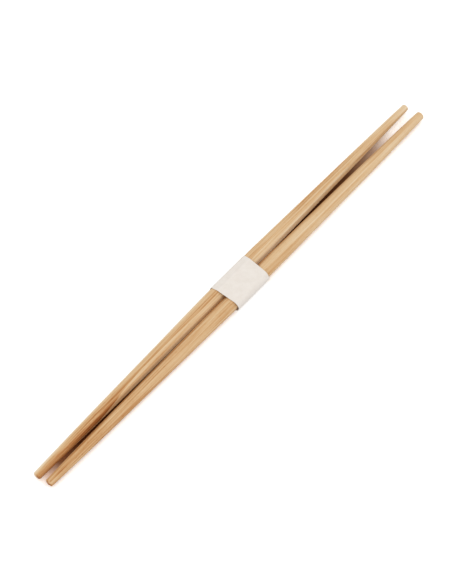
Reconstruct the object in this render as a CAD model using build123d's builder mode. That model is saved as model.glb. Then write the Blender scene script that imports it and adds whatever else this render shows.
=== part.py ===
from build123d import *
import os
from math import cos, radians, sin, sqrt, tan

# A pair of double-ended bamboo chopsticks held together by a paper band.
# +X runs along the sticks, +Y is the left stick's side and +Z is up. Sizes are in millimetres.

# The sticks: eight-sided bars, thickest at the middle, that turn round towards both ends
stick_length = 240.0
middle_width = 6.9
middle_height = 5.8
middle_chamfer = 2.0
thick_stretch_near = 14.0
thick_stretch_far = 16.0
barrel_diameter = 8.9
facet_relief = 0.15
end_edge_radius = 0.6
end_allowance = 1.0

# Each stick's own tips: the -X end first, then the +X end
left_tips = (3.5, 3.2)
right_tips = (3.5, 3.9)

# How the two lie in the band
left_roll = 30.0
left_twist = 9.0
right_roll = 0.0
right_twist = 0.0
left_bow = 0.4
right_bow = 0.0
spread_angle = 0.51
end_offset = 0.92
touch_clearance = 0.05

# The paper band: a strip wrapped once round both sticks, its ends glued under them
paper_thickness = 0.12
paper_clearance = 0.1
paper_slack = 0.75
overlap_width = 6.0
band_length = 20.6
band_offset = -0.75
near_edge_skew = 3.9
far_edge_skew = 2.0

half_length = stick_length / 2
half_spread = spread_angle / 2


def octagon(half_width, half_height, chamfer):
    """Corners of a rectangle with chamfered corners, anticlockwise from the +Y side's lower corner."""
    flat_y = half_width - chamfer
    flat_z = half_height - chamfer
    upper = [(half_width, flat_z), (flat_y, half_height), (-flat_y, half_height), (-half_width, flat_z)]
    lower = [(-y, -z) for y, z in upper]
    return lower[3:] + upper + lower[:3]


def rolled(corners, roll):
    """The same corners after the stick has rolled about its axis, its top moving towards -Y."""
    turn = radians(roll)
    return [(y * cos(turn) - z * sin(turn), y * sin(turn) + z * cos(turn)) for y, z in corners]


def tip_octagon(diameter):
    """A regular octagon standing facet_relief outside a tip's round."""
    half = diameter / 2 + facet_relief
    return octagon(half, half, half * (2 - sqrt(2)))


def roll_at(along, roll, twist):
    """The roll at a place along a twisted stick: the full twist is shared evenly over its length."""
    return roll - twist * along / stick_length


middle_octagon = octagon(middle_width / 2, middle_height / 2, middle_chamfer)
left_middle = rolled(middle_octagon, left_roll)
right_middle = rolled(middle_octagon, right_roll)

# The sticks spread towards +X, so they come closest at the -X end of the thick stretch
left_closest = rolled(middle_octagon, roll_at(-thick_stretch_near, left_roll, left_twist))
right_closest = rolled(middle_octagon, roll_at(-thick_stretch_near, right_roll, right_twist))
left_reach_in = -min(y for y, z in left_closest)
right_reach_in = max(y for y, z in right_closest)
spread_room = 2 * thick_stretch_near * tan(radians(half_spread))
axis_distance = left_reach_in + right_reach_in + touch_clearance + spread_room

# The band reaches furthest out on each side, and its outside is centred on Y = 0
wall = paper_clearance + paper_thickness
left_reach_out = max(y for y, z in left_middle) + wall
right_reach_out = -min(y for y, z in right_middle) + paper_slack + wall
left_y = (right_reach_out - left_reach_out + axis_distance) / 2
right_y = left_y - axis_distance

# Both sticks lie on the inside of the band, above its two glued layers
underside_z = 2 * paper_thickness + paper_clearance
left_z = underside_z - min(z for y, z in left_middle)
right_z = underside_z - min(z for y, z in right_middle)


def tip_cone(place, tip_centre, tip_diameter):
    """The round that one end of a stick runs into: a cone about the line from the middle to that end.

    It has the barrel's diameter at the middle and widens on until it is past the bar's other end. Its rim at
    the tip is rounded.
    """
    outwards = (tip_centre - place).normalized()
    widening = (barrel_diameter - tip_diameter) / 2
    beyond = half_length + 2 * end_allowance
    with BuildPart() as cone:
        with BuildSketch(Plane(origin=place, x_dir=outwards, z_dir=(0, 0, 1))) as profile:
            with BuildLine():
                Polyline(
                    (half_length, 0),
                    (half_length, tip_diameter / 2),
                    (-beyond, barrel_diameter / 2 + widening * beyond / half_length),
                    (-beyond, 0),
                    close=True,
                )
            make_face()
            tip_rim = profile.vertices().sort_by_distance(tip_centre)[1]
            fillet(tip_rim, radius=end_edge_radius)
        revolve(axis=Axis(place, outwards))
    return cone


def stick(place, heading, roll, twist, tips, bow):
    """One stick: an eight-sided bar, lofted through its sections, inside the cones of its two ends.

    The stick is slightly bent: its ends lie off the middle's line by bow, towards +Y.
    """
    frame = Plane(origin=place, x_dir=(cos(radians(heading)), sin(radians(heading)), 0), z_dir=(0, 0, 1))
    stations = [
        (-half_length - end_allowance, bow, tip_octagon(tips[0])),
        (-thick_stretch_near, 0, middle_octagon),
        (thick_stretch_far, 0, middle_octagon),
        (half_length + end_allowance, bow, tip_octagon(tips[1])),
    ]
    near_tip = frame.from_local_coords((-half_length, bow, 0))
    far_tip = frame.from_local_coords((half_length, bow, 0))
    near_cone = tip_cone(frame.origin, near_tip, tips[0])
    far_cone = tip_cone(frame.origin, far_tip, tips[1])
    with BuildPart() as bar:
        for along, aside, corners in stations:
            centre = frame.from_local_coords((along, aside, 0))
            with BuildSketch(Plane(origin=centre, x_dir=frame.y_dir, z_dir=frame.x_dir)):
                Polygon(*rolled(corners, roll_at(along, roll, twist)), align=None)
        loft(ruled=True)
        add(near_cone.part, mode=Mode.INTERSECT)
        add(far_cone.part, mode=Mode.INTERSECT)
    return bar


# The left stick turns outwards by half the spread, the right stick by the other half
left_place = (-end_offset / 2, left_y, left_z)
right_place = (end_offset / 2, right_y, right_z)
left_stick = stick(left_place, half_spread, left_roll, left_twist, left_tips, -left_bow)
right_stick = stick(right_place, -half_spread, right_roll, right_twist, right_tips, right_bow)


# The band's section: the tightest loop round both sticks, with a slack round over the right one
band_section = Plane.YZ
slack_radius = middle_height / 2
slack_y = right_y - (right_reach_out - wall) + slack_radius

with BuildSketch(band_section) as loop_core:
    with Locations((left_y, left_z)):
        Polygon(*left_middle, align=None)
    with Locations((right_y, right_z)):
        Polygon(*right_middle, align=None)
    with Locations((slack_y, right_z)):
        Circle(slack_radius)
    make_hull()

with BuildPart() as paper_band:
    with BuildSketch(band_section):
        add(loop_core.sketch_local)
        offset(amount=wall)
    extrude(amount=band_length, both=True)
    with BuildSketch(band_section):
        with Locations(((left_y + right_y) / 2, paper_thickness)):
            Rectangle(overlap_width, 2 * paper_thickness)
    extrude(amount=band_length, both=True)
    with BuildSketch(band_section):
        add(loop_core.sketch_local)
        offset(amount=paper_clearance)
    extrude(amount=2 * band_length, both=True, mode=Mode.SUBTRACT)
    # Its two cut edges aren't quite parallel: each runs inwards from the left side to the right
    with BuildSketch(Plane.XY):
        with BuildLine():
            near_edge = band_offset - band_length / 2
            far_edge = band_offset + band_length / 2
            side = left_reach_out + left_y + band_length
            near_shift = side * tan(radians(near_edge_skew))
            far_shift = side * tan(radians(far_edge_skew))
            Polyline(
                (near_edge - near_shift, side),
                (near_edge + near_shift, -side),
                (far_edge - far_shift, -side),
                (far_edge + far_shift, side),
                close=True,
            )
        make_face()
    extrude(amount=2 * side, both=True, mode=Mode.INTERSECT)

os.makedirs("parts", exist_ok=True)
left_stick.part.label = "left_stick"
right_stick.part.label = "right_stick"
paper_band.part.label = "paper_band"
for piece in (left_stick, right_stick, paper_band):
    export_step(piece.part, f"parts/{piece.part.label}.step")
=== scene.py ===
"""Banded bamboo chopsticks: two eight-sided sticks, thickest in the middle, held side by side by a paper
band.

The numbers below that set a shape are in millimetres and degrees, and the finished meshes are in metres.
"""

import math

import bmesh
import bpy
import numpy as np
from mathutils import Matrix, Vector


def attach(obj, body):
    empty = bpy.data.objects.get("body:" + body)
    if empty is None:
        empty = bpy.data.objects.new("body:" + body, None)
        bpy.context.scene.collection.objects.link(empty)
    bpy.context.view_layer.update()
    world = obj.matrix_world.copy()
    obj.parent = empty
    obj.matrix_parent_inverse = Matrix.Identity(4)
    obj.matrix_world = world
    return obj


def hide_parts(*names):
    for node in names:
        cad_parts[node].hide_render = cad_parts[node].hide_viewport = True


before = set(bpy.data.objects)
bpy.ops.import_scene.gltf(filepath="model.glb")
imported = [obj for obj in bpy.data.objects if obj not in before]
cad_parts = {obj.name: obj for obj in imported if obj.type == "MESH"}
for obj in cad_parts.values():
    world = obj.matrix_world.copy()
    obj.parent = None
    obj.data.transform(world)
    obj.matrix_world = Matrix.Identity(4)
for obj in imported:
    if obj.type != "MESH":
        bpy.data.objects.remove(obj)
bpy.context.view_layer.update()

MM = 0.001

# The sticks
STICK_LENGTH = 240.0
MIDDLE_WIDTH = 6.9
MIDDLE_HEIGHT = 5.8
MIDDLE_CHAMFER = 2.0
THICK_STRETCH_NEAR = 14.0
THICK_STRETCH_FAR = 16.0
BARREL_DIAMETER = 8.9
FACET_RELIEF = 0.15
END_EDGE_RADIUS = 0.6
LEFT_TIPS = (3.5, 3.2)
RIGHT_TIPS = (3.5, 3.9)
LEFT_ROLL, LEFT_TWIST, LEFT_BOW = 30.0, 9.0, -0.4
RIGHT_ROLL, RIGHT_TWIST, RIGHT_BOW = 0.0, 0.0, 0.0
SPREAD_ANGLE = 0.51
END_OFFSET = 0.92
TOUCH_CLEARANCE = 0.05

# Their finish: edges just softened, facets that wander a little, and one broad facet that runs out early
EDGE_SHARPNESS = 70.0
WANDER_LENGTH = 90.0
WANDER_DEPTH = 0.02
BROAD_FACET = 1
RUN_OUT_RISE = 0.5
RUN_OUT_EDGE = 5.0
END_GRAIN_TONE = -0.9
ROWS_ALONG = 430
COLUMNS_AROUND = 144

# The paper band
PAPER_THICKNESS = 0.12
PAPER_CLEARANCE = 0.1
PAPER_SLACK = 0.75
OVERLAP_WIDTH = 6.0
BAND_LENGTH = 20.6
BAND_OFFSET = -0.75
NEAR_EDGE_SKEW = 3.9
FAR_EDGE_SKEW = 2.0
LAYER_GAP = 0.004
EDGE_LIFT = 0.035

# The table: its white for light that bounces, and for a camera. Between the sticks a camera sees painted
# shade on it, brown where the gap is narrow, and each painted shade has its place along the sticks and its
# colour as screen values
TABLE_WHITE = 0.8
SEEN_WHITE = 1.35
PAINTED_GAP_SHADES = (
    (-121, (255, 255, 255)),
    (-116, (226, 200, 184)),
    (-109, (138, 92, 62)),
    (-98, (84, 44, 22)),
    (-80, (62, 28, 10)),
    (40, (66, 31, 12)),
    (60, (84, 48, 26)),
    (74, (100, 66, 42)),
    (84, (142, 110, 86)),
    (93, (172, 146, 128)),
    (101, (226, 214, 205)),
    (107, (255, 255, 255)),
)
# Where the painted shade lies: its strip's middle, this far to +Y of halfway between the sticks, and its half
# widths, full and faded out
PAINTED_GAP_SHADE_ASIDE = 0.7
PAINTED_GAP_SHADE_HALF_WIDTHS = (1.8, 3.4)

# The light and the camera
ROOM_LIGHT = 0.75
SOFT_BOX_PLACE = (-0.2, -0.3, 1.15)
SOFT_BOX_SIZE = 1.2
SOFT_BOX_POWER = 5.0
CAMERA_AZIMUTH = -49.6
CAMERA_ELEVATION = 57.95
CAMERA_DISTANCE = 679.0
CAMERA_TARGET = (-3.2, 1.35, 0.0)
SENSOR_WIDTH = 36.0
LENS = 99.869


# ---------------------------------------------------------------- shapes


def mesh_from_grid(name, points, closed_around, caps=False):
    """A mesh from a grid of points, rows along the piece and columns around it.

    points is (rows, columns, 3) in millimetres. Neighbouring points make four-sided faces, the last column
    joins the first if closed_around is set, and caps adds a fan from each end row to its own middle point.
    """
    rows, columns, _ = points.shape
    here = np.arange(rows * columns).reshape(rows, columns)
    nxt = np.roll(here, -1, axis=1)
    if not closed_around:
        here, nxt = here[:, :-1], nxt[:, :-1]
    faces = np.stack([here[:-1], nxt[:-1], nxt[1:], here[1:]], axis=-1).reshape(-1, 4).tolist()
    flat = points.reshape(-1, 3)
    if caps:
        first, last = len(flat), len(flat) + 1
        flat = np.vstack([flat, points[0].mean(0), points[-1].mean(0)])
        ring = np.arange(columns)
        after = np.roll(ring, -1)
        end = (rows - 1) * columns
        faces += np.stack([after, ring, np.full(columns, first)], axis=-1).tolist()
        faces += np.stack([end + ring, end + after, np.full(columns, last)], axis=-1).tolist()
    mesh = bpy.data.meshes.new(name)
    mesh.from_pydata((flat * MM).tolist(), [], faces)
    mesh.validate()
    mesh.polygons.foreach_set("use_smooth", np.ones(len(mesh.polygons), dtype=bool))
    piece = bpy.data.objects.new(name, mesh)
    bpy.context.scene.collection.objects.link(piece)
    return piece


def set_vector(piece, name, values):
    """Stores one vector per vertex, in metres, under a name that a material reads."""
    store = piece.data.attributes.new(name, "FLOAT_VECTOR", "POINT")
    store.data.foreach_set("vector", np.ascontiguousarray(values * MM, dtype=np.float32).ravel())


def set_number(piece, name, values):
    """Stores one number per vertex under a name that a material reads."""
    store = piece.data.attributes.new(name, "FLOAT", "POINT")
    store.data.foreach_set("value", np.ascontiguousarray(values, dtype=np.float32).ravel())


def octagon(half_width, half_height, chamfer):
    """Corners of a rectangle with chamfered corners, anticlockwise, as an (8, 2) array of y and z."""
    flat_y, flat_z = half_width - chamfer, half_height - chamfer
    upper = [(half_width, flat_z), (flat_y, half_height), (-flat_y, half_height), (-half_width, flat_z)]
    return np.array(upper + [(-y, -z) for y, z in upper])


def tip_octagon(diameter):
    """A regular octagon standing just outside a tip's round."""
    half = diameter / 2 + FACET_RELIEF
    return octagon(half, half, half * (2 - math.sqrt(2)))


def turned(corners, degrees):
    """Points turned about the stick's axis, the top moving towards -Y."""
    a = math.radians(degrees)
    y, z = corners[..., 0], corners[..., 1]
    return np.stack([y * math.cos(a) - z * math.sin(a), y * math.sin(a) + z * math.cos(a)], axis=-1)


MIDDLE = octagon(MIDDLE_WIDTH / 2, MIDDLE_HEIGHT / 2, MIDDLE_CHAMFER)


def smooth_noise(x, seed, wavelength, strength):
    """A gentle random wave along x: five sines of falling wavelength and height, with seeded phases."""
    dice = np.random.default_rng(seed)
    total = np.zeros_like(x)
    for octave in range(5):
        scale = 1.6**octave
        phase = dice.uniform(0, 2 * math.pi)
        total += np.sin(2 * math.pi * x * scale / wavelength + phase) / scale
    return strength * total / 2


def stick_stations():
    """Rows of a stick: how far along, how far the end's rounded edge has come in, and the end face's share.

    Each end starts at its face, goes out to the rounded edge as a quarter circle, and then runs along the
    stick.
    """
    half = STICK_LENGTH / 2
    turn = np.linspace(0, math.pi / 2, 8)
    edge_along = END_EDGE_RADIUS * (1 - np.sin(turn))
    edge_in = END_EDGE_RADIUS * (1 - np.cos(turn))
    face_share = np.array([0.12, 0.35, 0.6, 0.82])
    run = np.linspace(-half + END_EDGE_RADIUS, half - END_EDGE_RADIUS, ROWS_ALONG)[1:-1]
    near = [(-half, END_EDGE_RADIUS, s) for s in face_share]
    near += [(-half + a, i, 1.0) for a, i in zip(edge_along[::-1], edge_in[::-1])]
    far = [(-a, i, s) for a, i, s in reversed(near)]
    return np.array(near + [(x, 0.0, 1.0) for x in run] + far)


def run_out_share(along, bamboo_and_shade):
    """How far a stick's broad facet has run out towards either end: 0 in the middle, 1 where it is gone."""
    near, far = bamboo_and_shade["run_out"]
    return np.interp(along, (near[1], near[0], far[0], far[1]), (1.0, 0.0, 0.0, 1.0))


def tone_with_painted_shade(along, facing, round_facing, inset, bamboo_and_shade):
    """How pale or dark each point of a stick is, by its facet and its place along the stick: the bamboo's own
    tone, with painted shade where the given tones darken the sides that face the other stick.

    Each facet was planed to its own depth in the culm, which sets its own tone, and the facets towards the
    other stick also carry painted shade. Across a facet the tone runs through four levels: on its first edge,
    just inside that, just inside its last edge and on its last edge. Where the round of the tip has taken
    the facets away, or the broad facet runs out, the tone is the round's own, a function of the angle round
    the stick.
    """
    facet = np.argmax(facing, axis=-1)
    columns = facet.shape[1]
    best = np.take_along_axis(facing, facet[..., None], axis=-1)[..., 0]
    before = np.take_along_axis(facing, (facet[..., None] - 1) % 8, axis=-1)[..., 0]
    after = np.take_along_axis(facing, (facet[..., None] + 1) % 8, axis=-1)[..., 0]
    from_first, from_last = best - before, best - after
    across = from_first / np.maximum(from_first + from_last, 1e-9)
    stops = np.array([0.0, 0.14, 0.86, 1.0])
    levels = np.array(bamboo_and_shade["facets"])[facet]
    tone = np.zeros(facet.shape)
    for k in range(3):
        inside = (across >= stops[k]) & (across <= stops[k + 1])
        part = (across - stops[k]) / (stops[k + 1] - stops[k])
        tone = np.where(inside, levels[..., k] + (levels[..., k + 1] - levels[..., k]) * part, tone)
    turn = np.linspace(0, 360, columns, endpoint=False)
    near_round = np.interp(turn, bamboo_and_shade["angles"], bamboo_and_shade["near_round"], period=360)
    far_round = np.interp(turn, bamboo_and_shade["angles"], bamboo_and_shade["far_round"], period=360)
    farness = np.clip(along / 40 + 0.5, 0, 1)[:, None]
    round_tone = near_round + (far_round - near_round) * farness
    roundness = np.clip((round_facing[:, None] - best) / best / 0.02 + 0.5, 0, 1)
    # The broad facet's first edge swings across it as it runs out
    edge = np.interp(along, *bamboo_and_shade["first_edge"])[:, None]
    outside = np.clip((edge - np.where(turn > 270, turn - 360, turn)) / RUN_OUT_EDGE + 0.5, 0, 1)
    tone += (round_tone - tone) * np.maximum(roundness, outside)
    tone += np.interp(along, bamboo_and_shade["lengthwise"][0], bamboo_and_shade["lengthwise"][1])[:, None]
    return tone + END_GRAIN_TONE * (inset / END_EDGE_RADIUS)[:, None]


def stick(name, place, heading, roll, twist, tips, bow, seed, bamboo_and_shade):
    """One stick, as a surface of place along it and angle round it.

    Radius in a direction = 1 / (sum over facets of (facet normal . direction / facet distance)^n + (1 /
    barrel radius)^n)^(1/n), so the surface follows the nearest of eight flat facets and a turned double cone,
    and a large n leaves their edges just softened. Facet distances run straight from the tip's octagon to the
    middle's. The stick turns by twist over its length, and its ends lie aside of the middle's line by bow.
    """
    along, inset, share = stick_stations().T
    half = STICK_LENGTH / 2
    angle = np.linspace(0, 2 * math.pi, COLUMNS_AROUND, endpoint=False)
    direction = np.stack([np.cos(angle), np.sin(angle)], axis=-1)
    taper = np.where(along < 0, half - THICK_STRETCH_NEAR, half - THICK_STRETCH_FAR)
    reach = np.clip((half - np.abs(along)) / taper, 0, 1)[:, None, None]
    tip_shape = np.where(along[:, None, None] < 0, tip_octagon(tips[0]), tip_octagon(tips[1]))
    corners = tip_shape + (MIDDLE - tip_shape) * reach
    side = np.roll(corners, -1, axis=1) - corners
    normal = np.stack([side[..., 1], -side[..., 0]], axis=-1)
    normal /= np.linalg.norm(normal, axis=-1, keepdims=True)
    distance = (normal * corners).sum(-1)
    # Hand planing: each facet wanders in and out by a few hundredths of a millimetre
    for k in range(8):
        distance[:, k] += smooth_noise(along, seed * 10 + k, WANDER_LENGTH, WANDER_DEPTH) - WANDER_DEPTH
    distance[:, BROAD_FACET] += RUN_OUT_RISE * run_out_share(along, bamboo_and_shade)
    tip_radius = np.where(along < 0, tips[0], tips[1]) / 2
    barrel = tip_radius + (BARREL_DIAMETER / 2 - tip_radius) * (half - np.abs(along)) / half
    facing = np.maximum(np.einsum("rkc,ac->rak", normal, direction), 0) / distance[:, None, :]
    total = (facing**EDGE_SHARPNESS).sum(-1) + (1 / barrel[:, None]) ** EDGE_SHARPNESS
    radius = total ** (-1 / EDGE_SHARPNESS)
    # The tone: the bamboo's own, with painted shade where the tables darken the sides towards the other stick
    tone = tone_with_painted_shade(along, facing, 1 / barrel, inset, bamboo_and_shade)
    radius = (radius - inset[:, None]) * share[:, None]
    section = radius[..., None] * direction
    turns = roll - twist * along / STICK_LENGTH
    a = np.radians(turns)[:, None]
    aside = bow * (1 - reach[:, :, 0])
    y = section[..., 0] * np.cos(a) - section[..., 1] * np.sin(a) + aside
    z = section[..., 0] * np.sin(a) + section[..., 1] * np.cos(a)
    h = math.radians(heading)
    x = np.broadcast_to(along[:, None], y.shape)
    points = np.stack([
        place[0] + x * math.cos(h) - y * math.sin(h),
        place[1] + x * math.sin(h) + y * math.cos(h),
        place[2] + z,
    ], axis=-1)
    piece = mesh_from_grid(name, points, closed_around=True, caps=True)
    own = np.stack([x, section[..., 0], section[..., 1]], axis=-1).reshape(-1, 3)
    own = np.vstack([own, [-half, 0, 0], [half, 0, 0]])
    set_vector(piece, "fibre", own)
    set_number(piece, "tone", np.concatenate([tone.ravel(), [tone[0].mean(), tone[-1].mean()]]))
    return piece


# Places of the two sticks, from the same sizes as the solids
half_spread = SPREAD_ANGLE / 2
left_middle, right_middle = turned(MIDDLE, LEFT_ROLL), MIDDLE
left_closest = turned(MIDDLE, LEFT_ROLL + LEFT_TWIST * THICK_STRETCH_NEAR / STICK_LENGTH)
spread_room = 2 * THICK_STRETCH_NEAR * math.tan(math.radians(half_spread))
axis_distance = -left_closest[:, 0].min() + MIDDLE_WIDTH / 2 + TOUCH_CLEARANCE + spread_room
wall = PAPER_CLEARANCE + PAPER_THICKNESS
left_reach_out = left_middle[:, 0].max() + wall
right_reach_out = MIDDLE_WIDTH / 2 + PAPER_SLACK + wall
left_y = (right_reach_out - left_reach_out + axis_distance) / 2
right_y = left_y - axis_distance
underside_z = 2 * PAPER_THICKNESS + PAPER_CLEARANCE
left_z = underside_z - left_middle[:, 1].min()
right_z = underside_z + MIDDLE_HEIGHT / 2


def band_outline(stand_off, steps=2880):
    """The tightest loop round both sticks and the slack round over the right one, standing off by a distance.

    In each direction the loop's point is the furthest corner of the pieces that way, plus the stand-off along
    that direction, so its corners are arcs of that radius. The points run anticlockwise, one per direction.
    """
    slack_radius = MIDDLE_HEIGHT / 2
    slack_y = right_y - MIDDLE_WIDTH / 2 - PAPER_SLACK + slack_radius
    turn = np.linspace(0, 2 * math.pi, steps, endpoint=False)
    out = np.stack([np.cos(turn), np.sin(turn)], axis=-1)
    held = np.vstack([
        left_middle + (left_y, left_z),
        right_middle + (right_y, right_z),
        out[::8] * slack_radius + (slack_y, right_z),
    ])
    furthest = held[np.argmax(out @ held.T, axis=1)]
    return furthest + out * stand_off


def along_loop(loop):
    """Distance along a loop from its first point, and the loop with that point again at its end."""
    closed = np.vstack([loop, loop[:1]])
    step = np.linalg.norm(np.diff(closed, axis=0), axis=-1)
    return np.concatenate([[0], np.cumsum(step)]), closed


def band_path(count):
    """The paper strip's middle line in section, as one long turn that ends under its own beginning.

    It starts under the sticks at the overlap's -Y end, runs towards +Y, goes up over the sticks and comes
    back underneath, then steps down by one paper thickness and runs on below its beginning to the overlap's
    +Y end.
    """
    loop = band_outline(PAPER_CLEARANCE + PAPER_THICKNESS / 2)
    start_y = (left_y + right_y - OVERLAP_WIDTH) / 2
    # The loop's first point is the +Y end of its flat bottom
    on_bottom = np.abs(loop[:, 1] - loop[:, 1].min()) < 1e-6
    first = int(np.argmax(loop[:, 0] * on_bottom - 1e3 * ~on_bottom))
    loop = np.roll(loop, -first, axis=0)
    distance, closed = along_loop(loop)
    turn_length = distance[-1]
    lead = loop[0, 0] - start_y
    s = np.linspace(0, turn_length + OVERLAP_WIDTH, count)
    wrapped = np.mod(s - lead, turn_length)
    y = np.interp(wrapped, distance, closed[:, 0])
    z = np.interp(wrapped, distance, closed[:, 1])
    # The last layer steps down within one millimetre, just before it meets the strip's beginning
    step = np.clip(s - (turn_length - 1.2), 0, 1)
    z = z - (PAPER_THICKNESS + LAYER_GAP) * step * step * (3 - 2 * step)
    return s, np.stack([y, z], axis=-1)


def paper_band(name):
    """The band, as a strip with two faces: place along the strip's path, and place across it.

    Each face is the path moved half the paper's thickness along its normal. The two cut edges run in slightly
    from the left side to the right, and lift off the sticks a little with a slow wave.
    """
    count, across = 420, 44
    s, path = band_path(count)
    tangent = np.gradient(path, axis=0)
    tangent /= np.linalg.norm(tangent, axis=-1, keepdims=True)
    normal = np.stack([tangent[:, 1], -tangent[:, 0]], axis=-1)
    share = np.linspace(-1, 1, across)
    share = np.sign(share) * (1 - (1 - np.abs(share)) ** 1.35)
    near = BAND_OFFSET - BAND_LENGTH / 2 - path[:, 0] * math.tan(math.radians(NEAR_EDGE_SKEW))
    far = BAND_OFFSET + BAND_LENGTH / 2 + path[:, 0] * math.tan(math.radians(FAR_EDGE_SKEW))
    x = near[:, None] + (far - near)[:, None] * (share[None, :] + 1) / 2
    # The sheet floats a few hundredths over the sticks, more towards its cut edges on top
    top = np.clip((path[:, 1] - 3.0) / 3.0, 0, 1)[:, None]
    wave = 1 + 0.6 * np.sin(s[:, None] * 0.55 + x * 0.12) + 0.4 * np.sin(s[:, None] * 1.3 - x * 0.3 + 1.0)
    lift = EDGE_LIFT * top * np.abs(share[None, :]) ** 3 * wave
    sheets = []
    for half_side in (1, -1):
        offset = half_side * PAPER_THICKNESS / 2 + lift
        yz = path[:, None, :] + normal[:, None, :] * offset[..., None]
        sheets.append(np.concatenate([x[..., None], yz], axis=-1))
    outer, inner = sheets
    # One closed loop round the strip's own section: the outer face out, the inner face back
    ring = np.concatenate([outer, inner[:, ::-1]], axis=1)
    piece = mesh_from_grid(name, ring, closed_around=True)
    flat = np.concatenate([x, x[:, ::-1]], axis=1)
    own = np.stack([flat, np.broadcast_to(s[:, None], flat.shape), np.zeros_like(flat)], axis=-1)
    set_vector(piece, "sheet", own.reshape(-1, 3))
    return piece


def close_strip_ends(piece):
    """Fills the two open ends of the strip and turns every face outwards."""
    work = bmesh.new()
    work.from_mesh(piece.data)
    edges = [e for e in work.edges if e.is_boundary]
    bmesh.ops.holes_fill(work, edges=edges, sides=0)
    bmesh.ops.recalc_face_normals(work, faces=work.faces)
    work.to_mesh(piece.data)
    work.free()


# ---------------------------------------------------------------- materials


def srgb(red, green, blue):
    """A colour given as 0 to 255 screen values, as the linear values that a shader takes."""
    values = np.array([red, green, blue]) / 255
    linear = np.where(values <= 0.04045, values / 12.92, ((values + 0.055) / 1.055) ** 2.4)
    return (*linear.tolist(), 1.0)


class Nodes:
    """Short names for the few node set-ups that the materials share."""

    def __init__(self, name):
        self.material = bpy.data.materials.new(name)
        self.material.use_nodes = True
        self.tree = self.material.node_tree
        self.tree.nodes.clear()

    def add(self, kind, **settings):
        node = self.tree.nodes.new(kind)
        for key, value in settings.items():
            setattr(node, key, value)
        return node

    def put(self, value, socket):
        """Links an output to a socket, or sets the socket to a plain value."""
        if isinstance(value, bpy.types.NodeSocket):
            self.tree.links.new(value, socket)
        else:
            socket.default_value = value

    def attribute(self, name):
        return self.add("ShaderNodeAttribute", attribute_name=name).outputs["Vector"]

    def math(self, operation, a, b=0.0, c=0.0, clamp=False):
        node = self.add("ShaderNodeMath", operation=operation, use_clamp=clamp)
        for value, socket in zip((a, b, c), node.inputs):
            self.put(value, socket)
        return node.outputs[0]

    def vector(self, operation, a, b):
        node = self.add("ShaderNodeVectorMath", operation=operation)
        self.put(a, node.inputs[0])
        self.put(b, node.inputs[1])
        return node.outputs[0]

    def ramp(self, value, low, high, out_low=0.0, out_high=1.0):
        """Value between low and high, smoothed and mapped to the two outputs."""
        node = self.add("ShaderNodeMapRange", interpolation_type="SMOOTHSTEP")
        for v, socket in zip((value, low, high, out_low, out_high), node.inputs):
            self.put(v, socket)
        return node.outputs[0]

    def colour_scale(self, value, stops):
        """A run of colours: stops are (value, colour as screen values), lowest first."""
        low, high = stops[0][0], stops[-1][0]
        share = self.add("ShaderNodeMapRange")
        for v, socket in zip((value, low, high), share.inputs):
            self.put(v, socket)
        node = self.add("ShaderNodeValToRGB")
        scale = node.color_ramp
        scale.elements[0].color = srgb(*stops[0][1])
        scale.elements[1].color = srgb(*stops[-1][1])
        for place, colour in stops[1:-1]:
            scale.elements.new((place - low) / (high - low)).color = srgb(*colour)
        self.put(share.outputs[0], node.inputs[0])
        return node.outputs[0]

    def number(self, name):
        return self.add("ShaderNodeAttribute", attribute_name=name).outputs["Fac"]

    def noise(self, vector, scale, detail=2.0, roughness=0.5, distortion=0.0):
        node = self.add("ShaderNodeTexNoise")
        self.put(vector, node.inputs["Vector"])
        node.inputs["Scale"].default_value = scale
        node.inputs["Detail"].default_value = detail
        node.inputs["Roughness"].default_value = roughness
        node.inputs["Distortion"].default_value = distortion
        return node.outputs["Fac"]

    def mix(self, share, a, b, blend="MIX"):
        node = self.add("ShaderNodeMix", data_type="RGBA", blend_type=blend)
        for value, socket in zip((share, a, b), (node.inputs[0], node.inputs[6], node.inputs[7])):
            self.put(value, socket)
        return node.outputs[2]

    def surface(self, colour, roughness, height, strength, distance, **sockets):
        """The finished surface: a Principled shader with bump, and its fixed sockets set to plain numbers."""
        shader = self.add("ShaderNodeBsdfPrincipled")
        self.put(colour, shader.inputs["Base Color"])
        self.put(roughness, shader.inputs["Roughness"])
        for key, value in sockets.items():
            shader.inputs[key.replace("_", " ")].default_value = value
        bump = self.add("ShaderNodeBump")
        bump.inputs["Strength"].default_value = strength
        bump.inputs["Distance"].default_value = distance
        self.put(height, bump.inputs["Height"])
        self.put(bump.outputs["Normal"], shader.inputs["Normal"])
        output = self.add("ShaderNodeOutputMaterial")
        self.put(shader.outputs[0], output.inputs["Surface"])
        return self.material


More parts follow.
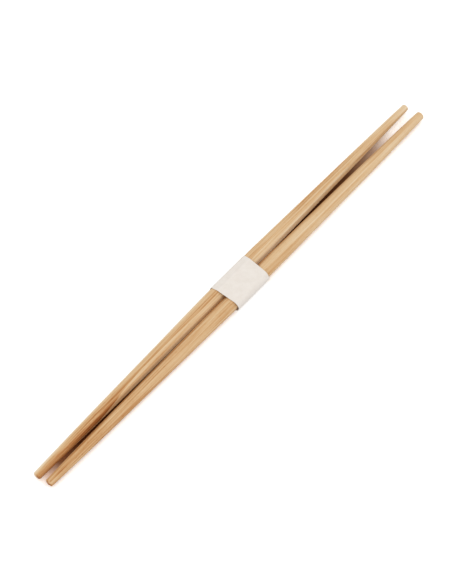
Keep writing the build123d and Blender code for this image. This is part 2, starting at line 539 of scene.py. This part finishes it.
def bamboo(name, seed, skin_side, colours):
    """Split bamboo, as a solid pattern in the stick's own directions, so every cut face and end shows it.

    Across the stick lie fibre bundles, dots on an end and long fine streaks on a side, with pale pith
    between. Bundles crowd and darken towards the side that faced the culm's skin, at skin_side degrees round
    the stick.
    """
    n = Nodes(name)
    fibre = n.attribute("fibre")
    placed = n.vector("ADD", fibre, (0.013 * seed, 0.0071 * seed, 0.0037 * seed))
    parts = n.add("ShaderNodeSeparateXYZ")
    n.put(fibre, parts.inputs[0])
    # How far towards the culm's skin, from 0 to 1 across the stick
    a = math.radians(skin_side)
    y_share = n.math("MULTIPLY", parts.outputs[1], math.cos(a))
    z_share = n.math("MULTIPLY", parts.outputs[2], math.sin(a))
    toward_skin = n.ramp(n.math("ADD", y_share, z_share), -0.0035, 0.0035)

    # Long coordinates: with a share of 0.02, a pattern is 50 times longer than it is wide
    def stretched(share):
        return n.vector("MULTIPLY", placed, (share, 1.0, 1.0))

    wander = n.noise(stretched(0.02), 300.0, detail=1.0)
    drift = n.math("MULTIPLY", n.math("SUBTRACT", wander, 0.5), 0.0006)
    cross = n.add("ShaderNodeCombineXYZ")
    moved = n.add("ShaderNodeSeparateXYZ")
    n.put(placed, moved.inputs[0])
    n.put(n.math("ADD", moved.outputs[1], drift), cross.inputs[0])
    n.put(n.math("ADD", moved.outputs[2], drift), cross.inputs[1])
    cells = n.add("ShaderNodeTexVoronoi", voronoi_dimensions="2D", feature="F1")
    n.put(cross.outputs[0], cells.inputs["Vector"])
    cells.inputs["Scale"].default_value = 1450.0
    cells.inputs["Randomness"].default_value = 0.9
    size = n.ramp(toward_skin, 0.0, 1.0, 0.26, 0.4)
    bundle = n.ramp(n.math("DIVIDE", cells.outputs["Distance"], size), 0.55, 1.1, 1.0, 0.0)
    broken = n.ramp(n.noise(stretched(0.06), 900.0, detail=2.0), 0.36, 0.6)
    bundle = n.math("MULTIPLY", bundle, broken)

    fine = n.noise(stretched(0.008), 5200.0, detail=3.0, roughness=0.65)
    medium = n.noise(stretched(0.015), 1500.0, detail=3.0, roughness=0.6)
    strips = n.noise(stretched(0.012), 750.0, detail=1.0)
    broad = n.noise(stretched(0.05), 260.0, detail=2.0)
    cloud = n.noise(placed, 55.0, detail=2.0)
    speck = n.noise(stretched(0.25), 2600.0, detail=2.0)

    # Everything adds up to one level, from dark and orange to pale
    # The stored tone brings in the painted shade of the sides that face the other stick
    level = n.number("tone")
    for pattern, low, high, amount in (
        (medium, 0.3, 0.7, 0.75),
        (strips, 0.35, 0.65, 0.5),
        (fine, 0.3, 0.7, 0.5),
        (broad, 0.3, 0.7, 0.25),
        (cloud, 0.3, 0.7, 0.25),
        (speck, 0.55, 0.75, -0.4),
    ):
        level = n.math("ADD", level, n.ramp(pattern, low, high, -amount / 2, amount / 2))
    level = n.math("ADD", level, n.math("MULTIPLY", bundle, -0.45))
    level = n.math("ADD", level, n.ramp(toward_skin, 0.0, 1.0, 0.1, -0.1))
    colour = n.colour_scale(level, colours)
    height = n.math("ADD", n.math("MULTIPLY", fine, 0.6), n.math("MULTIPLY", bundle, -0.35))
    height = n.math("ADD", height, n.math("MULTIPLY", medium, 0.4))
    roughness = n.ramp(fine, 0.3, 0.7, 0.5, 0.66)
    return n.surface(colour, roughness, height, 0.4, 0.00012, Specular_IOR_Level=0.25)


def paper(name):
    """Plain uncoated paper, laid out flat: soft clouds of fibre, fine tooth and a few darker flecks."""
    n = Nodes(name)
    sheet = n.attribute("sheet")
    cloud = n.noise(sheet, 330.0, detail=3.0, roughness=0.6)
    broad = n.noise(sheet, 90.0, detail=2.0)
    tooth = n.noise(sheet, 5200.0, detail=3.0, roughness=0.7)
    fibres = n.noise(n.vector("MULTIPLY", sheet, (0.35, 1.0, 1.0)), 3300.0, detail=4.0, distortion=1.2)
    colour = n.mix(n.ramp(cloud, 0.3, 0.75), srgb(238, 231, 223), srgb(233, 225, 216))
    colour = n.mix(n.ramp(broad, 0.4, 0.7, 0.0, 0.25), colour, srgb(236, 226, 218))
    colour = n.mix(n.ramp(fibres, 0.58, 0.75, 0.0, 0.25), colour, srgb(214, 203, 188))
    height = n.math("ADD", n.math("MULTIPLY", tooth, 0.6), n.math("MULTIPLY", fibres, 0.5))
    return n.surface(colour, 0.88, height, 0.35, 0.00006, Specular_IOR_Level=0.25, Sheen_Weight=0.08)


def floor_material(name):
    """A plain white table. A camera, and gloss that sees it, get it whiter, with the object's shadow kept.

    Between the sticks a camera sees painted shade on it: a brown set along the sticks, darker where the gap
    is narrow, fading to the table's white on either side of the gap.
    """
    n = Nodes(name)
    path = n.add("ShaderNodeLightPath")
    seen = n.math("MAXIMUM", path.outputs["Is Camera Ray"], path.outputs["Is Glossy Ray"])
    seen = n.math("MAXIMUM", seen, path.outputs["Is Transmission Ray"])
    plain_table = n.add("ShaderNodeBsdfDiffuse")
    plain_table.inputs["Color"].default_value = (TABLE_WHITE, TABLE_WHITE, TABLE_WHITE, 1.0)
    place = n.add("ShaderNodeSeparateXYZ")
    n.put(n.add("ShaderNodeTexCoord").outputs["Object"], place.inputs[0])
    # Painted shade: brown colours along the gap between the sticks, faded out to white on either side
    painted_gap_shade = n.colour_scale(n.math("DIVIDE", place.outputs[0], MM), PAINTED_GAP_SHADES)
    gap_y = ((left_y + right_y) / 2 + PAINTED_GAP_SHADE_ASIDE) * MM
    off_gap = n.math("ABSOLUTE", n.math("SUBTRACT", place.outputs[1], gap_y))
    inner, outer = (width * MM for width in PAINTED_GAP_SHADE_HALF_WIDTHS)
    seen_colour = n.mix(n.ramp(off_gap, inner, outer), painted_gap_shade, (1.0, 1.0, 1.0, 1.0))
    seen_table = n.add("ShaderNodeBsdfDiffuse")
    n.put(n.vector("MULTIPLY", seen_colour, (SEEN_WHITE, SEEN_WHITE, SEEN_WHITE)), seen_table.inputs["Color"])
    either = n.add("ShaderNodeMixShader")
    n.put(seen, either.inputs[0])
    n.put(plain_table.outputs[0], either.inputs[1])
    n.put(seen_table.outputs[0], either.inputs[2])
    output = n.add("ShaderNodeOutputMaterial")
    n.put(either.outputs[0], output.inputs["Surface"])
    return n.material


# ---------------------------------------------------------------- the pieces

# How each stick's bamboo was cut, and where painted shade darkens it. Facets go anticlockwise from the
# chamfer between +Y and the top, each with its four tones across, and angles are measured the same way
# from the stick's own +Y. Tones run from -2, dark and orange, to 1.5, pale. The low tones on the sides
# that face the other stick across the seam, and on the left stick's round tips on that side, are painted
# shade; the other tones are the bamboo's own. first_edge is where the broad facet's first edge lies, as
# places along the stick and their angles. run_out is where the broad facet starts to run out and where it
# is gone, at the near end and at the far end. lengthwise is added to the tone, as places along the stick
# and amounts.
LEFT_BAMBOO_AND_PAINTED_SHADE = {
    "facets": (
        (0.4, 0.3, -0.4, -0.6),
        (0.4, 0.4, 0.4, 0.6),
        # From here the next three facets face the right stick: their low tones towards the seam are painted
        # shade
        (0.8, 0.7, 0.2, -0.3),
        (-0.8, -0.9, -0.8, -0.6),
        (-0.3, -0.1, 0.0, -0.1),
        (0.1, 0.2, 0.0, -0.1),
        (0.0, 0.1, 0.2, 0.2),
        (0.2, 0.3, 0.4, 0.4),
    ),
    "angles": (-60, -10, 15, 65, 90, 115, 150, 200),
    # On the side towards the right stick, about 90 to 200 degrees, the round's low tones are painted shade
    "near_round": (0.4, 1.1, 1.0, -0.1, -0.7, -1.3, -1.4, -0.8),
    "far_round": (0.1, 0.0, 0.0, 0.2, 0.5, 0.2, -0.3, -0.4),
    "first_edge": (
        (-86, -72, -58, -34, -17, 0, 20, 46, 54, 67, 76, 86),
        (150, 92, 68, 68, 66, 62, 58, 70, 79, 96, 115, 150),
    ),
    "run_out": ((-58.0, -86.0), (46.0, 86.0)),
    "lengthwise": (
        (-120, -104, -94, -82, -62, -30, -15, 12, 32, 47, 62, 77, 95, 120),
        (0.15, 0.05, -0.2, -0.3, -0.25, -0.25, -0.2, 0.35, 0.35, 0.0, 0.0, -0.15, 0.1, 0.5),
    ),
}
RIGHT_BAMBOO_AND_PAINTED_SHADE = {
    "facets": (
        # This first facet's +Y edge and the last facet, the +Y side, face the left stick: their low tones are
        # painted shade
        (-0.6, -0.4, 0.0, 0.2),
        (0.1, -0.05, 0.1, 0.35),
        (-0.25, 0.05, -0.05, -0.15),
        (0.1, 0.1, -0.1, -0.2),
        (-0.2, 0.0, 0.1, 0.0),
        (0.1, 0.1, 0.0, 0.0),
        (0.0, -0.1, -0.1, 0.0),
        (-0.2, -0.3, -0.3, -0.1),
    ),
    "angles": (0, 90, 180, 270),
    "near_round": (0.1, 0.0, 0.0, 0.1),
    "far_round": (0.2, 0.0, 0.1, 0.1),
    # Its broad facet runs all the way to both ends
    "first_edge": ((-120, 120), (-90, -90)),
    "run_out": ((-119.0, -120.0), (119.0, 120.0)),
    "lengthwise": (
        (-120, -95, -72, -47, -22, 20, 40, 60, 120),
        (-0.35, -0.6, -0.6, -0.4, -0.2, -0.05, 0.0, 0.2, 0.25),
    ),
}
BAMBOO_COLOURS = (
    (-2.0, (140, 78, 32)),
    (-1.5, (158, 94, 42)),
    (-1.0, (180, 117, 60)),
    (-0.5, (200, 150, 98)),
    (0.0, (214, 173, 125)),
    (0.5, (223, 189, 145)),
    (1.5, (235, 214, 182)),
)

left_stick = stick("left_bamboo_stick", (-END_OFFSET / 2, left_y, left_z), half_spread,
                   LEFT_ROLL, LEFT_TWIST, LEFT_TIPS, LEFT_BOW, 3, LEFT_BAMBOO_AND_PAINTED_SHADE)
right_stick = stick("right_bamboo_stick", (END_OFFSET / 2, right_y, right_z), -half_spread,
                    RIGHT_ROLL, RIGHT_TWIST, RIGHT_TIPS, RIGHT_BOW, 7, RIGHT_BAMBOO_AND_PAINTED_SHADE)
band = paper_band("wrapped_paper_band")
close_strip_ends(band)

left_stick.data.materials.append(bamboo("bamboo_left", 3, 20.0, BAMBOO_COLOURS))
right_stick.data.materials.append(bamboo("bamboo_right", 11, -70.0, BAMBOO_COLOURS))
band.data.materials.append(paper("band_paper"))

for piece, node, slot in (
    (left_stick, "left_stick", "bamboo"),
    (right_stick, "right_stick", "bamboo"),
    (band, "paper_band", "paper"),
):
    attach(piece, "root")
    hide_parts(node)


# ---------------------------------------------------------------- table, light and camera


def table_top():
    """A flat square under the object, level with the underside of the band."""
    half = 3.0
    corners = [(-half, -half, 0), (half, -half, 0), (half, half, 0), (-half, half, 0)]
    mesh = bpy.data.meshes.new("table_top")
    mesh.from_pydata(corners, [], [(0, 1, 2, 3)])
    top = bpy.data.objects.new("table_top", mesh)
    bpy.context.scene.collection.objects.link(top)
    mesh.materials.append(floor_material("white_table"))


def world_light(strength):
    """An even white room. A camera sees it as plain white."""
    world = bpy.data.worlds.new("studio")
    bpy.context.scene.world = world
    world.use_nodes = True
    tree = world.node_tree
    tree.nodes.clear()
    path = tree.nodes.new("ShaderNodeLightPath")
    seen = tree.nodes.new("ShaderNodeMath")
    seen.operation = "MAXIMUM"
    tree.links.new(path.outputs["Is Camera Ray"], seen.inputs[0])
    tree.links.new(path.outputs["Is Transmission Ray"], seen.inputs[1])
    level = tree.nodes.new("ShaderNodeMapRange")
    tree.links.new(seen.outputs[0], level.inputs["Value"])
    level.inputs["To Min"].default_value = strength
    level.inputs["To Max"].default_value = 1.0
    background = tree.nodes.new("ShaderNodeBackground")
    background.inputs["Color"].default_value = (1.0, 1.0, 1.0, 1.0)
    tree.links.new(level.outputs[0], background.inputs["Strength"])
    output = tree.nodes.new("ShaderNodeOutputWorld")
    tree.links.new(background.outputs[0], output.inputs["Surface"])


def soft_box(name, place, size, power):
    """A square soft box at a place, facing the object."""
    light = bpy.data.lights.new(name, "AREA")
    light.shape = "SQUARE"
    light.size = size
    light.energy = power
    lamp = bpy.data.objects.new(name, light)
    lamp.location = place
    lamp.rotation_euler = Vector(place).to_track_quat("Z", "Y").to_euler()
    bpy.context.scene.collection.objects.link(lamp)


def camera():
    """Looks along the sticks from the near left end, from well above, in an upright frame."""
    azimuth, elevation = math.radians(CAMERA_AZIMUTH), math.radians(CAMERA_ELEVATION)
    back = Vector((
        math.sin(azimuth) * math.cos(elevation),
        -math.cos(azimuth) * math.cos(elevation),
        math.sin(elevation),
    ))
    target = Vector(CAMERA_TARGET) * MM
    data = bpy.data.cameras.new("camera")
    data.sensor_width = SENSOR_WIDTH
    data.lens = LENS
    data.clip_start = 0.01
    view = bpy.data.objects.new("camera", data)
    view.location = target + back * CAMERA_DISTANCE * MM
    view.rotation_euler = back.to_track_quat("Z", "Y").to_euler()
    bpy.context.scene.collection.objects.link(view)
    bpy.context.scene.camera = view


table_top()
world_light(ROOM_LIGHT)
soft_box("overhead", SOFT_BOX_PLACE, SOFT_BOX_SIZE, SOFT_BOX_POWER)
camera()
bpy.context.scene.view_settings.view_transform = "Standard"

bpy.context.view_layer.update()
